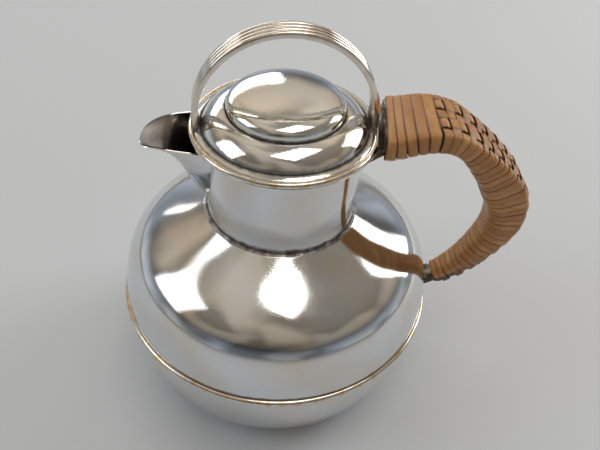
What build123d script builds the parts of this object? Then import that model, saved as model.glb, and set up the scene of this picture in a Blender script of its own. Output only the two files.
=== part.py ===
from build123d import *

import os
from math import cos, radians, sin, sqrt

# A silver coffee pot: a spun round body with a girdle wire, a straight neck with a beak spout, a
# loose domed lid with a reeded loop, and a hollow handle wrapped and woven with cane.
# Millimetres. +Z is up, +X points along the handle, and the origin is the middle of the base.

# Body
BODY_RADIUS = 73.2
BASE_RADIUS = 48.0
BASE_PLATE_INSET = 5.0
GIRDLE_HEIGHT = 53.0
SHOULDER_HEIGHT = 50.0
BODY_WALL = 1.2
BOWL_SIDE_RISE = 17.0
BOWL_FOOT_RUN = 17.4
SHOULDER_SIDE_RISE = 37.3
SHOULDER_TOP_RUN = 29.7
SHOULDER_TOP_SLOPE = 33.4
GIRDLE_WIRE_RADIUS = 1.6
SOLDER = 0.05

# Neck and mouth
NECK_RADIUS = 33.0
NECK_HEIGHT = 40.4
NECK_WALL = 1.0
NECK_LAP = 3.0
MOUTH_WIRE_RADIUS = 0.7

# Spout
SPOUT_REACH = 26.3
SPOUT_HALF_WIDTH = 15.2
SPOUT_DEPTH = 29.0
SPOUT_WALL = 1.0
SPOUT_BELOW_MOUTH = 4.2
SPOUT_NOSE_DROP = 3.9
WINDOW_WIDTH = 20.0
WINDOW_HEIGHT = 21.0

# Lid
LID_FIT = 0.4
LID_SEAT_GAP = 0.2
LID_WALL = 1.1
LID_OVERHANG = 5.4
LID_EDGE_WIRE_RADIUS = 1.4
LID_FLANGE_RISE = 1.5
LID_TIER_OUTSET = 1.0
LID_DOME_INSET = 8.9
LID_DOME_SHOULDER = 0.62
LID_DOME_SIDE = 0.6
LID_DOME_EDGE = 1.0
LID_UNDER_DOME = 0.4
LID_UNDER_TIER = 0.3
LID_UNDER_BULGE = 0.5
LID_TIER_HEIGHT = 6.9
LID_DOME_HEIGHT = 7.6
LID_TIER_BULGE = 1.5
BEZEL_WALL = 1.0
BEZEL_DEPTH = 9.0
LID_TURN = 4.5

# Lid loop
LOOP_INSET = 0.1
LOOP_HEIGHT = 44.0
LOOP_WIDTH = 9.9
LOOP_STRAP = 1.5
REED_COUNT = 4

# Handle
CANE = 1.3
HANDLE_TUBE_WALL = 1.0
HANDLE_STAND_OFF = 8.5
HANDLE_ABOVE_MOUTH = 1.4
HANDLE_FOOT_GAP = 4.9
HANDLE_FOOT_RISE = 4.4
HANDLE_BULGE = 44.0
HANDLE_WIDTHS = (35.0, 29.4, 23.0, 16.4, 11.2)
HANDLE_DEPTHS = (11.5, 10.0, 19.0, 12.8, 7.8)
HANDLE_OUTER_ROUND = 2.6
HANDLE_INNER_ROUND = 0.42
HANDLE_STATIONS = 13
SOCKET_WIDTH = 22.0
SOCKET_ROOT = 6.0
SOCKET_DROP = 14.0
SOCKET_UNDER_LID = 1.2
SOCKET_LID_LAP = 0.4
SOCKET_LID_GAP = 0.7
LOWER_SOCKET_WIDTH = 9.4
LOWER_SOCKET_DEPTH = 6.2
PIN_RADIUS = 1.1
PIN_PROUD = 0.5
STAKE_WIDTH = 6.6
STAKE_SPACING = 12.0
STAKE_THICKNESS = 0.9
STAKE_PROUD = 0.5
STAKE_END_STATIONS = 1

# Levels and radii that follow from the sizes above
JOINT_HEIGHT = GIRDLE_HEIGHT + SHOULDER_HEIGHT
MOUTH_HEIGHT = JOINT_HEIGHT + NECK_HEIGHT
NECK_BORE = NECK_RADIUS - NECK_WALL
LIP_HEIGHT = MOUTH_HEIGHT - SPOUT_BELOW_MOUTH
BASE_PLATE_RADIUS = BASE_RADIUS - BASE_PLATE_INSET
LID_BASE = MOUTH_HEIGHT + LID_SEAT_GAP
LID_RADIUS = NECK_RADIUS + MOUTH_WIRE_RADIUS + LID_OVERHANG - LID_EDGE_WIRE_RADIUS
LID_TIER_RADIUS = NECK_RADIUS + LID_TIER_OUTSET
LID_DOME_RADIUS = NECK_RADIUS - LID_DOME_INSET
LOOP_RADIUS = LID_RADIUS - LOOP_INSET
BEZEL_RADIUS = NECK_BORE - LID_FIT
BEZEL_BORE = BEZEL_RADIUS - BEZEL_WALL
TIER_BASE = LID_BASE + LID_WALL + LID_FLANGE_RISE
DOME_BASE = TIER_BASE + LID_TIER_HEIGHT
LOOP_TOP = LID_BASE + LOOP_HEIGHT

os.makedirs("parts", exist_ok=True)


def finish(part, label):
    """Label a finished piece and write it to its own STEP file."""
    part.label = label
    export_step(part, f"parts/{label}.step")


def bowl_points(inset):
    """Control points of the bowl's side, from the girdle to the base, set in by a wall."""
    radius = BODY_RADIUS - inset
    return (
        (radius, GIRDLE_HEIGHT),
        (radius, GIRDLE_HEIGHT - BOWL_SIDE_RISE),
        (BASE_RADIUS + BOWL_FOOT_RUN - inset, inset),
        (BASE_RADIUS, inset),
    )


def shoulder_points(inset):
    """Control points of the shoulder, from the girdle to the neck, set in by a wall."""
    radius = BODY_RADIUS - inset
    slope = radians(SHOULDER_TOP_SLOPE)
    top = JOINT_HEIGHT - inset / cos(slope)
    crest_x = NECK_RADIUS + SHOULDER_TOP_RUN * cos(slope)
    crest_z = top - SHOULDER_TOP_RUN * sin(slope)
    return (
        (radius, GIRDLE_HEIGHT),
        (radius, GIRDLE_HEIGHT + SHOULDER_SIDE_RISE - inset),
        (crest_x, crest_z),
        (NECK_RADIUS, top),
    )


# Body: two spun halves that meet edge to edge behind the girdle wire
with BuildPart() as lower_bowl:
    with BuildSketch(Plane.XZ):
        with BuildLine():
            outer = Bezier(*bowl_points(0))
            inner = Bezier(*bowl_points(BODY_WALL))
            Line(outer @ 0, inner @ 0)
            Polyline(
                outer @ 1,
                (BASE_PLATE_RADIUS, 0),
                (BASE_PLATE_RADIUS, BODY_WALL),
                inner @ 1,
            )
        make_face()
    revolve(axis=Axis.Z)

with BuildPart() as shoulder:
    with BuildSketch(Plane.XZ):
        with BuildLine():
            outer = Bezier(*shoulder_points(0))
            inner = Bezier(*shoulder_points(BODY_WALL))
            Line(outer @ 0, inner @ 0)
            Line(outer @ 1, inner @ 1)
        make_face()
    revolve(axis=Axis.Z)

with BuildPart() as base_plate:
    with BuildSketch(Plane.XY):
        Circle(BASE_PLATE_RADIUS)
    extrude(amount=BODY_WALL)

# The filled outline of the body, which pieces that are soldered to it are trimmed against
with BuildPart() as body_outline:
    with BuildSketch(Plane.XZ):
        with BuildLine():
            bowl = Bezier(*bowl_points(0))
            upper = Bezier(*shoulder_points(0))
            Polyline(upper @ 1, (0, JOINT_HEIGHT), (0, 0), bowl @ 1)
        make_face()
    revolve(axis=Axis.Z)

with BuildPart() as girdle_wire:
    with BuildSketch(Plane.XZ):
        with BuildLine():
            low = (BODY_RADIUS + SOLDER, GIRDLE_HEIGHT - GIRDLE_WIRE_RADIUS)
            high = (BODY_RADIUS + SOLDER, GIRDLE_HEIGHT + GIRDLE_WIRE_RADIUS)
            crown = (BODY_RADIUS + SOLDER + GIRDLE_WIRE_RADIUS, GIRDLE_HEIGHT)
            ThreePointArc(low, crown, high)
            Line(high, low)
        make_face()
    revolve(axis=Axis.Z)

# Neck: a tube that laps down into the shoulder, with a window into the spout
with BuildPart() as neck_outline:
    with BuildSketch(Plane.XY.offset(JOINT_HEIGHT - NECK_LAP)):
        Circle(NECK_RADIUS)
    extrude(amount=NECK_HEIGHT + NECK_LAP)

with BuildPart() as neck:
    add(neck_outline.part)
    with BuildSketch(Plane.XY.offset(JOINT_HEIGHT - NECK_LAP)):
        Circle(NECK_BORE)
    extrude(amount=NECK_HEIGHT + NECK_LAP, mode=Mode.SUBTRACT)
    window_middle = MOUTH_HEIGHT - BEZEL_DEPTH - WINDOW_HEIGHT / 2
    with BuildSketch(Plane(origin=(0, 0, window_middle), x_dir=(0, 1, 0), z_dir=(-1, 0, 0))):
        RectangleRounded(WINDOW_WIDTH, WINDOW_HEIGHT, WINDOW_WIDTH / 4)
    extrude(amount=NECK_RADIUS + NECK_WALL, mode=Mode.SUBTRACT)

with BuildPart() as mouth_wire:
    with BuildSketch(Plane.XZ):
        with Locations((NECK_RADIUS, MOUTH_HEIGHT - MOUTH_WIRE_RADIUS)):
            Circle(MOUTH_WIRE_RADIUS)
    revolve(axis=Axis.Z)
    add(neck_outline.part, mode=Mode.SUBTRACT)

# How far the spout's root reaches into the neck, so that its whole edge meets the curved side
root_side = sqrt(NECK_RADIUS**2 - SPOUT_HALF_WIDTH**2)
SPOUT_ROOT = (NECK_RADIUS - root_side + SPOUT_WALL) / SPOUT_REACH

# Spout: an open beak, lofted through half-ellipse sections from the neck to the nose. Each row is
# the share of the reach, then the shares of the half width, the depth and the nose's drop.
SPOUT_SHAPE = (
    (-SPOUT_ROOT, 1.00, 1.08, 0.00),
    (0.06, 0.97, 0.98, 0.00),
    (0.22, 0.94, 0.76, 0.00),
    (0.42, 0.90, 0.34, 0.02),
    (0.64, 0.83, 0.135, 0.12),
    (0.84, 0.65, 0.075, 0.48),
    (0.96, 0.38, 0.045, 0.82),
    (1.00, 0.12, 0.030, 1.00),
)


def spout_loft(wall):
    """Loft the beak's sections inside the current part, set in by a wall and open above it."""
    sections = []
    for reach, width, depth, drop in SPOUT_SHAPE:
        half_width = SPOUT_HALF_WIDTH * width - wall
        half_depth = SPOUT_DEPTH * depth
        if half_width < wall:
            continue
        level = LIP_HEIGHT - SPOUT_NOSE_DROP * drop + wall
        place = (-NECK_RADIUS - SPOUT_REACH * reach, 0, level)
        with BuildSketch(Plane(origin=place, x_dir=(0, 1, 0), z_dir=(-1, 0, 0))) as section:
            with BuildLine():
                Line((-half_width, 0), (half_width, 0))
                EllipticalCenterArc((0, 0), half_width, half_depth, arc_size=180)
            make_face()
        sections.append(section.sketch)
    loft(sections=sections)


with BuildPart() as spout_channel:
    spout_loft(SPOUT_WALL)

with BuildPart() as spout:
    spout_loft(0)
    add(spout_channel.part, mode=Mode.SUBTRACT)
    add(neck_outline.part, mode=Mode.SUBTRACT)
    add(body_outline.part, mode=Mode.SUBTRACT)

# Lid: a spun cover of a flange, a lower tier and a dome, a bezel that drops into the neck, and a
# half-round wire round the edge
dome_shape = LID_DOME_RADIUS * LID_DOME_SHOULDER
dome_edge = LID_DOME_RADIUS - LID_DOME_EDGE
dome_side = DOME_BASE + LID_DOME_HEIGHT * LID_DOME_SIDE
with BuildPart() as lid_cover:
    with BuildSketch(Plane.XZ):
        with BuildLine():
            edge_top = (LID_RADIUS, LID_BASE + LID_WALL)
            tier_foot = (LID_TIER_RADIUS, TIER_BASE)
            tier_mid = (
                (LID_TIER_RADIUS + LID_DOME_RADIUS) / 2,
                TIER_BASE + LID_TIER_HEIGHT / 2 + LID_TIER_BULGE,
            )
            dome_foot = (LID_DOME_RADIUS, DOME_BASE)
            dome_top = DOME_BASE + LID_DOME_HEIGHT
            Line(edge_top, tier_foot)
            ThreePointArc(tier_foot, tier_mid, dome_foot)
            Bezier(
                dome_foot,
                (dome_edge, dome_side),
                (dome_shape, dome_top),
                (0, dome_top),
            )
            under_top = dome_top - LID_WALL
            under_foot = (LID_DOME_RADIUS - LID_WALL, DOME_BASE - LID_WALL * LID_UNDER_DOME)
            Line((0, dome_top), (0, under_top))
            Bezier(
                (0, under_top),
                (dome_shape - LID_WALL, under_top),
                (dome_edge - LID_WALL, dome_side - LID_WALL),
                under_foot,
            )
            under_tier = (BEZEL_BORE, TIER_BASE + LID_WALL * LID_UNDER_TIER)
            ThreePointArc(
                under_foot,
                (
                    (BEZEL_BORE + LID_DOME_RADIUS - LID_WALL) / 2,
                    (under_foot[1] + under_tier[1]) / 2 + LID_TIER_BULGE * LID_UNDER_BULGE,
                ),
                under_tier,
            )
            Polyline(under_tier, (BEZEL_BORE, LID_BASE), (LID_RADIUS, LID_BASE), edge_top)
        make_face()
    revolve(axis=Axis.Z)

with BuildPart() as lid_edge_wire:
    with BuildSketch(Plane.XZ):
        with BuildLine():
            low = (LID_RADIUS, LID_BASE - (2 * LID_EDGE_WIRE_RADIUS - LID_WALL) / 2)
            high = (LID_RADIUS, low[1] + 2 * LID_EDGE_WIRE_RADIUS)
            ThreePointArc(low, (LID_RADIUS + LID_EDGE_WIRE_RADIUS, (low[1] + high[1]) / 2), high)
            Line(high, low)
        make_face()
    revolve(axis=Axis.Z)

with BuildPart() as lid_bezel:
    with BuildSketch(Plane.XY.offset(LID_BASE)):
        Circle(BEZEL_RADIUS)
        Circle(BEZEL_BORE, mode=Mode.SUBTRACT)
    extrude(amount=-BEZEL_DEPTH)

# Lid loop: a strap with reeds along its outer face, bent into an arch and soldered to the flange
reed_radius = LOOP_WIDTH / REED_COUNT / 2
strap_inner = LOOP_RADIUS - LOOP_STRAP - reed_radius
loop_plane = Plane.XZ.rotated((0, 0, LID_TURN))
with BuildPart() as lid_loop:
    with BuildLine(loop_plane) as loop_path:
        left = Line((-strap_inner, LID_BASE), (-strap_inner, LOOP_TOP - LOOP_RADIUS))
        arch = CenterArc((0, LOOP_TOP - LOOP_RADIUS), strap_inner, 180, -180)
        Line((strap_inner, LOOP_TOP - LOOP_RADIUS), (strap_inner, LID_BASE))
    foot = loop_path.line @ 0
    outward = -loop_plane.x_dir
    with BuildSketch(Plane(origin=foot, x_dir=outward, z_dir=(0, 0, 1))):
        with Locations((LOOP_STRAP / 2, 0)):
            Rectangle(LOOP_STRAP, LOOP_WIDTH)
        with Locations((LOOP_STRAP, 0)):
            with GridLocations(0, 2 * reed_radius, 1, REED_COUNT):
                Circle(reed_radius)
    sweep(path=loop_path.line)
    add(lid_cover.part, mode=Mode.SUBTRACT)
    add(lid_edge_wire.part, mode=Mode.SUBTRACT)

# Handle: its middle line runs from beside the mouth, out, round and down to the girdle. Each row
# is the height as a share of the way up from the foot, and how far it stands out of the chord.
HANDLE_SHAPE = ((1.03, 0.31), (1.02, 0.64), (0.915, 0.835), (0.725, 1.0), (0.525, 1.0), (0.27, 0.67))
handle_top = (NECK_RADIUS + HANDLE_STAND_OFF, MOUTH_HEIGHT + HANDLE_ABOVE_MOUTH)
handle_foot = (BODY_RADIUS + HANDLE_FOOT_GAP, GIRDLE_HEIGHT + HANDLE_FOOT_RISE)


def handle_point(share, bulge):
    """A point of the handle's middle line, as X and Z."""
    chord = handle_foot[0] + share * (handle_top[0] - handle_foot[0])
    height = handle_foot[1] + share * (handle_top[1] - handle_foot[1])
    return (chord + bulge * HANDLE_BULGE, height)


with BuildLine(Plane.XZ) as handle_line:
    Spline(
        handle_top,
        *[handle_point(share, bulge) for share, bulge in HANDLE_SHAPE],
        handle_foot,
        tangents=((1.0, 0.0), (-0.86, -0.5)),
    )
spine = handle_line.line


def between(values, share):
    """Read evenly spaced values at a share of the way along them."""
    place = share * (len(values) - 1)
    index = min(int(place), len(values) - 2)
    return values[index] + (values[index + 1] - values[index]) * (place - index)


def handle_plane(share):
    """The plane square to the handle at a share of its length, with its Y outward."""
    return Plane(origin=spine @ share, x_dir=(0, 1, 0), z_dir=spine % share)


def handle_loft(inset, mode=Mode.ADD):
    """Loft the handle's rounded sections inside the current part, set in by an inset."""
    sections = []
    for station in range(HANDLE_STATIONS):
        share = station / (HANDLE_STATIONS - 1)
        width = between(HANDLE_WIDTHS, share) - 2 * inset
        depth = between(HANDLE_DEPTHS, share) - 2 * inset
        with BuildSketch(handle_plane(share)) as section:
            Rectangle(width, depth)
            inner_corners = section.vertices().group_by(Axis.Y)[0]
            fillet(inner_corners, depth * HANDLE_INNER_ROUND)
            outer_corners = section.vertices().group_by(Axis.Y)[-1]
            fillet(outer_corners, HANDLE_OUTER_ROUND - inset / 2)
        sections.append(section.sketch)
    loft(sections=sections, ruled=True, mode=mode)


def stake_loft(side):
    """Loft one long cane along the handle's outer face, half sunk into the wrapping."""
    sections = []
    for station in range(STAKE_END_STATIONS, HANDLE_STATIONS - STAKE_END_STATIONS):
        share = station / (HANDLE_STATIONS - 1)
        taper = between(HANDLE_WIDTHS, share) / HANDLE_WIDTHS[1]
        level = between(HANDLE_DEPTHS, share) / 2 + STAKE_PROUD - STAKE_THICKNESS / 2
        middle = side * STAKE_SPACING / 2 * min(taper, 1)
        with BuildSketch(handle_plane(share)) as section:
            with Locations((middle, level)):
                Rectangle(STAKE_WIDTH * min(taper, 1), STAKE_THICKNESS)
        sections.append(section.sketch)
    loft(sections=sections, ruled=True)


with BuildPart() as tube_outline:
    handle_loft(CANE)


with BuildPart() as handle_tube:
    add(tube_outline.part)
    handle_loft(CANE + HANDLE_TUBE_WALL, Mode.SUBTRACT)

with BuildPart() as front_stake:
    stake_loft(-1)

with BuildPart() as back_stake:
    stake_loft(1)

with BuildPart() as cane_wrap:
    handle_loft(0)
    add(tube_outline.part, mode=Mode.SUBTRACT)
    add(front_stake.part, mode=Mode.SUBTRACT)
    add(back_stake.part, mode=Mode.SUBTRACT)

# Upper socket: a bracket that rises from the neck, under the lid's edge, to close the tube's end
socket_top = handle_top[1] + HANDLE_DEPTHS[0] / 2 - CANE
lid_edge = LID_RADIUS + LID_EDGE_WIRE_RADIUS
lid_low = LID_BASE - LID_EDGE_WIRE_RADIUS
with BuildPart() as upper_socket:
    with BuildSketch(Plane.XZ) as socket_side:
        with BuildLine():
            Polyline(
                (NECK_RADIUS - SOCKET_ROOT, MOUTH_HEIGHT - SOCKET_DROP),
                (NECK_RADIUS - SOCKET_ROOT, lid_low - SOCKET_UNDER_LID),
                (lid_edge - SOCKET_LID_LAP, lid_low - SOCKET_UNDER_LID),
                (lid_edge + SOCKET_LID_GAP, lid_low),
                (lid_edge + SOCKET_LID_GAP, socket_top),
                (handle_top[0], socket_top),
                (handle_top[0], socket_top - HANDLE_DEPTHS[0] + 2 * CANE),
                close=True,
            )
        make_face()
    extrude(amount=SOCKET_WIDTH / 2, both=True)
    add(neck_outline.part, mode=Mode.SUBTRACT)
    add(tube_outline.part, mode=Mode.SUBTRACT)

# Lower socket: a short stub from the tube's end to the shoulder, just over the girdle wire, with a
# pin across it
foot_plane = handle_plane(1)
with BuildPart() as lower_socket:
    with BuildSketch(foot_plane) as foot_section:
        RectangleRounded(LOWER_SOCKET_WIDTH, LOWER_SOCKET_DEPTH, LOWER_SOCKET_DEPTH / 3)
    extrude(amount=3 * HANDLE_FOOT_GAP)
    add(body_outline.part, mode=Mode.SUBTRACT)
    add(girdle_wire.part, mode=Mode.SUBTRACT)

with BuildPart() as socket_pin:
    pin_place = foot_plane.origin + foot_plane.z_dir * (HANDLE_FOOT_GAP / 2)
    with BuildSketch(Plane(origin=pin_place, x_dir=(1, 0, 0), z_dir=(0, -1, 0))):
        Circle(PIN_RADIUS)
    extrude(amount=LOWER_SOCKET_WIDTH / 2 + PIN_PROUD, both=True)

with BuildPart() as drilled_socket:
    add(lower_socket.part)
    add(socket_pin.part, mode=Mode.SUBTRACT)

finish(lower_bowl.part, "lower_bowl")
finish(shoulder.part, "shoulder")
finish(base_plate.part, "base_plate")
finish(girdle_wire.part, "girdle_wire")
finish(neck.part, "neck")
finish(mouth_wire.part, "mouth_wire")
finish(spout.part, "spout")
finish(lid_cover.part, "lid_cover")
finish(lid_edge_wire.part, "lid_edge_wire")
finish(lid_bezel.part, "lid_bezel")
finish(lid_loop.part, "lid_loop")
finish(handle_tube.part, "handle_tube")
finish(cane_wrap.part, "cane_wrap")
finish(front_stake.part, "front_stake")
finish(back_stake.part, "back_stake")
finish(upper_socket.part, "upper_socket")
finish(drilled_socket.part, "lower_socket")
finish(socket_pin.part, "socket_pin")
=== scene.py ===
"""Silver coffee pot with a lift-off cover and a cane-wrapped handle.

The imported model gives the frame. Each sub-assembly below is a class that models its pieces
in metres, seats them on the frame and gives them their finish.
"""

import logging
import math
import random
from dataclasses import dataclass, field
from enum import Enum
from typing import Any, Callable, Sequence

import bpy
import numpy as np
from mathutils import Matrix, Vector

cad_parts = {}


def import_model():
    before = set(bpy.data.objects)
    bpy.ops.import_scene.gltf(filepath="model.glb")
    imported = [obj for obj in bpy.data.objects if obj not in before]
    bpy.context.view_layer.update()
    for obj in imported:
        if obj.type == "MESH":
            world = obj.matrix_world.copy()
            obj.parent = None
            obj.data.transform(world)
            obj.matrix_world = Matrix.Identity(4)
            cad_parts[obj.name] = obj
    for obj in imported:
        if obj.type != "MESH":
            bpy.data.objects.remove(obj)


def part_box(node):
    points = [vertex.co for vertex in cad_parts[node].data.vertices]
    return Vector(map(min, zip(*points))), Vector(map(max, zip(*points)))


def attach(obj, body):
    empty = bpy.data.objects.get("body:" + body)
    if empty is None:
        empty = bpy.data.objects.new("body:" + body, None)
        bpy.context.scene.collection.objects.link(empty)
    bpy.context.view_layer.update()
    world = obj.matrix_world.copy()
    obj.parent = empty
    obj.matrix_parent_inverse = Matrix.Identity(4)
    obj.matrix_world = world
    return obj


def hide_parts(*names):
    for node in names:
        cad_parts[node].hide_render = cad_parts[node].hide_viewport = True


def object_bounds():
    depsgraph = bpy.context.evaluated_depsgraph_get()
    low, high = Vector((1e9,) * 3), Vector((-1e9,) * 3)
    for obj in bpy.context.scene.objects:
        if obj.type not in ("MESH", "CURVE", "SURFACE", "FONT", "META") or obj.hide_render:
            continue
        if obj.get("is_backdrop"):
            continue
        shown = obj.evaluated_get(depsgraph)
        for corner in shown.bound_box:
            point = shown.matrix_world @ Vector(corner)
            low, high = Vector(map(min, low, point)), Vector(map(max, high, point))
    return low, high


LOG = logging.getLogger("coffee_pot")
MM = 0.001
WELD = 1e-6

Outline = list[tuple[float, float]]
Place = Callable[[int, int], tuple[float, float, float]]


class Body(Enum):
    """The two bodies that pieces ride on."""

    POT = "pot"
    LID = "lid"


class Slot(Enum):
    """The record's material slots."""

    SILVER = "silver_plate"
    WIRE = "worn_silver_wire"
    MOUNT = "tarnished_mount"
    CANE = "cane"
    STAKE = "cane_stake"


# ---------------------------------------------------------------- modelling


def deselect_all() -> None:
    """Leave edit mode and deselect every object."""
    if bpy.context.object and bpy.context.object.mode != "OBJECT":
        bpy.ops.object.mode_set(mode="OBJECT")
    bpy.ops.object.select_all(action="DESELECT")


def activate(piece: bpy.types.Object) -> None:
    """Make a piece the only selected and the active object."""
    deselect_all()
    piece.select_set(True)
    bpy.context.view_layer.objects.active = piece


def face_outward(piece: bpy.types.Object, inside: Vector) -> None:
    """Turn a welded mesh's faces away from a point inside it.

    Args:
        piece: The mesh object.
        inside: A point that the faces look away from.
    """
    activate(piece)
    bpy.ops.object.mode_set(mode="EDIT")
    bpy.ops.mesh.select_all(action="SELECT")
    bpy.ops.mesh.normals_make_consistent(inside=False)
    bpy.ops.object.mode_set(mode="OBJECT")
    outward = sum(face.area * face.normal.dot(face.center - inside) for face in piece.data.polygons)
    if outward < 0:
        bpy.ops.object.mode_set(mode="EDIT")
        bpy.ops.mesh.select_all(action="SELECT")
        bpy.ops.mesh.flip_normals()
        bpy.ops.object.mode_set(mode="OBJECT")


def turned(name: str, outline: Outline, segments: int = 192) -> bpy.types.Object:
    """Draw an outline by extruding a vertex and spin it round the pot's axis.

    Args:
        name: The piece's name.
        outline: Radius and height of each point, in order.
        segments: Steps round the axis.

    Returns:
        The turned mesh, welded, with its faces outward.
    """
    deselect_all()
    bpy.ops.mesh.primitive_plane_add(size=MM)
    piece = bpy.context.object
    piece.name = name
    bpy.ops.object.mode_set(mode="EDIT")
    bpy.ops.mesh.select_all(action="SELECT")
    bpy.ops.mesh.merge(type="CENTER")
    here = (0.0, 0.0)
    for number, (radius, height) in enumerate(outline):
        step = (radius - here[0], 0.0, height - here[1])
        if number == 0:
            bpy.ops.transform.translate(value=step)
        else:
            bpy.ops.mesh.extrude_vertices_move(TRANSFORM_OT_translate={"value": step})
        here = (radius, height)
    bpy.ops.mesh.select_all(action="SELECT")
    bpy.ops.mesh.spin(steps=segments, angle=2 * math.pi, center=(0, 0, 0), axis=(0, 0, 1))
    bpy.ops.mesh.select_all(action="SELECT")
    bpy.ops.mesh.remove_doubles(threshold=WELD)
    bpy.ops.object.mode_set(mode="OBJECT")
    heights = [height for _, height in outline]
    face_outward(piece, Vector((0, 0, (min(heights) + max(heights)) / 2)))
    return piece


def shaped_grid(
    name: str,
    along: int,
    across: int,
    place: Place,
    inside: Vector,
    marks: dict[str, Callable[[int, int], float]] | None = None,
    close_ends: bool = True,
) -> bpy.types.Object:
    """Shape a grid by placing each of its points, then weld its seams.

    Args:
        name: The piece's name.
        along: Steps along the piece.
        across: Steps across it, or round its section.
        place: Gives the place of a point from its two step numbers.
        inside: A point that the faces look away from.
        marks: Named values kept on each point for the materials.
        close_ends: Fill the holes that are left after the weld.

    Returns:
        The shaped mesh.
    """
    deselect_all()
    bpy.ops.mesh.primitive_grid_add(x_subdivisions=along, y_subdivisions=across, size=1.0)
    piece = bpy.context.object
    piece.name = name
    mesh = piece.data
    steps = [(round((p.co.x + 0.5) * along), round((p.co.y + 0.5) * across)) for p in mesh.vertices]
    for mark, value in (marks or {}).items():
        layer = mesh.attributes.new(mark, "FLOAT", "POINT")
        layer.data.foreach_set("value", [value(*step) for step in steps])
    mesh.vertices.foreach_set("co", [number for step in steps for number in place(*step)])
    mesh.update()
    bpy.ops.object.mode_set(mode="EDIT")
    bpy.ops.mesh.select_all(action="SELECT")
    bpy.ops.mesh.remove_doubles(threshold=WELD)
    if close_ends:
        bpy.ops.mesh.fill_holes(sides=0)
    bpy.ops.object.mode_set(mode="OBJECT")
    face_outward(piece, inside)
    return piece


def apply_modifier(piece: bpy.types.Object, kind: str, **settings: Any) -> None:
    """Add a modifier to a piece and apply it.

    Args:
        piece: The mesh object.
        kind: The modifier's type.
        **settings: Values set on the modifier.
    """
    activate(piece)
    modifier = piece.modifiers.new(kind.lower(), kind)
    for key, value in settings.items():
        setattr(modifier, key, value)
    bpy.ops.object.modifier_apply(modifier=modifier.name)


def thicken(piece: bpy.types.Object, wall: float, lined: bool = True) -> None:
    """Give a shell its wall, inward from its outer face, with the lining's finish inside."""
    apply_modifier(
        piece,
        "SOLIDIFY",
        thickness=wall,
        offset=-1.0,
        use_even_offset=True,
        material_offset=1 if lined else 0,
    )


def smooth(piece: bpy.types.Object, limit: float = 40.0) -> None:
    """Shade a piece smooth except at edges sharper than a limit in degrees."""
    activate(piece)
    bpy.ops.object.shade_smooth_by_angle(angle=math.radians(limit))


def joined(name: str, parts: list[bpy.types.Object]) -> bpy.types.Object:
    """Join several meshes into one piece with its own name."""
    activate(parts[0])
    for part in parts[1:]:
        part.select_set(True)
    bpy.ops.object.join()
    parts[0].name = name
    return parts[0]


def bezier(start: tuple, leaving: tuple, arriving: tuple, end: tuple, steps: int) -> Outline:
    """Return points on a cubic curve from its ends and its two handles."""
    points = []
    for step in range(steps + 1):
        t = step / steps
        shares = ((1 - t) ** 3, 3 * t * (1 - t) ** 2, 3 * t * t * (1 - t), t**3)
        corners = (start, leaving, arriving, end)
        points.append(tuple(sum(w * c[axis] for w, c in zip(shares, corners)) for axis in (0, 1)))
    return points


def arc(centre: tuple, radius: float, first: float, last: float, steps: int) -> Outline:
    """Return points on an arc between two angles in degrees."""
    turns = [math.radians(first + (last - first) * step / steps) for step in range(steps + 1)]
    return [(centre[0] + radius * math.cos(turn), centre[1] + radius * math.sin(turn)) for turn in turns]


def seat(
    piece: bpy.types.Object, body: Body, slot: Slot, finishes: Sequence[bpy.types.Material], *nodes: str
) -> None:
    """Put a finished piece on its body and hide the model's nodes that it replaces.

    Args:
        piece: The mesh object.
        body: The body that it rides on.
        slot: The record's slot for the piece; not used.
        finishes: Its materials, in slot order.
        *nodes: The model's nodes that it replaces.
    """
    if not piece.data.materials:
        for finish in finishes:
            piece.data.materials.append(finish)
    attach(piece, body.value)
    if nodes:
        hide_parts(*nodes)
    LOG.info("%s: %d faces on %s", piece.name, len(piece.data.polygons), body.value)


# ---------------------------------------------------------------- shader maths


@dataclass(frozen=True)
class Value:
    """A shader socket that Python's operators work on."""

    surface: "Surface"
    socket: Any

    def math(self, operation: str, other: Any = None, swapped: bool = False) -> "Value":
        """Return a Math node of this value and another, or of this value alone."""
        values = [self] if other is None else ([other, self] if swapped else [self, other])
        settings = {"operation": operation}
        return self.surface.node("ShaderNodeMath", settings, dict(enumerate(values)))

    def __add__(self, other: Any) -> "Value":
        """Add."""
        return self.math("ADD", other)

    def __radd__(self, other: Any) -> "Value":
        """Add from the left."""
        return self.math("ADD", other, True)

    def __sub__(self, other: Any) -> "Value":
        """Subtract."""
        return self.math("SUBTRACT", other)

    def __rsub__(self, other: Any) -> "Value":
        """Subtract from a number."""
        return self.math("SUBTRACT", other, True)

    def __mul__(self, other: Any) -> "Value":
        """Multiply."""
        return self.math("MULTIPLY", other)

    def __rmul__(self, other: Any) -> "Value":
        """Multiply from the left."""
        return self.math("MULTIPLY", other, True)

    def __pow__(self, other: Any) -> "Value":
        """Raise to a power."""
        return self.math("POWER", other)

    def either(self, other: Any) -> "Value":
        """Return the larger of two values."""
        return self.math("MAXIMUM", other)

    def size(self) -> "Value":
        """Return the value without its sign."""
        return self.math("ABSOLUTE")

    def fade(self, low: float, high: float) -> "Value":
        """Rise smoothly from 0 at one value to 1 at another, or fall where they are reversed."""
        start, end = (low, high) if low < high else (high, low)
        ends = (0.0, 1.0) if low < high else (1.0, 0.0)
        inputs = {"Value": self, "From Min": start, "From Max": end, "To Min": ends[0], "To Max": ends[1]}
        return self.surface.node("ShaderNodeMapRange", {"interpolation_type": "SMOOTHSTEP"}, inputs)


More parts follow.
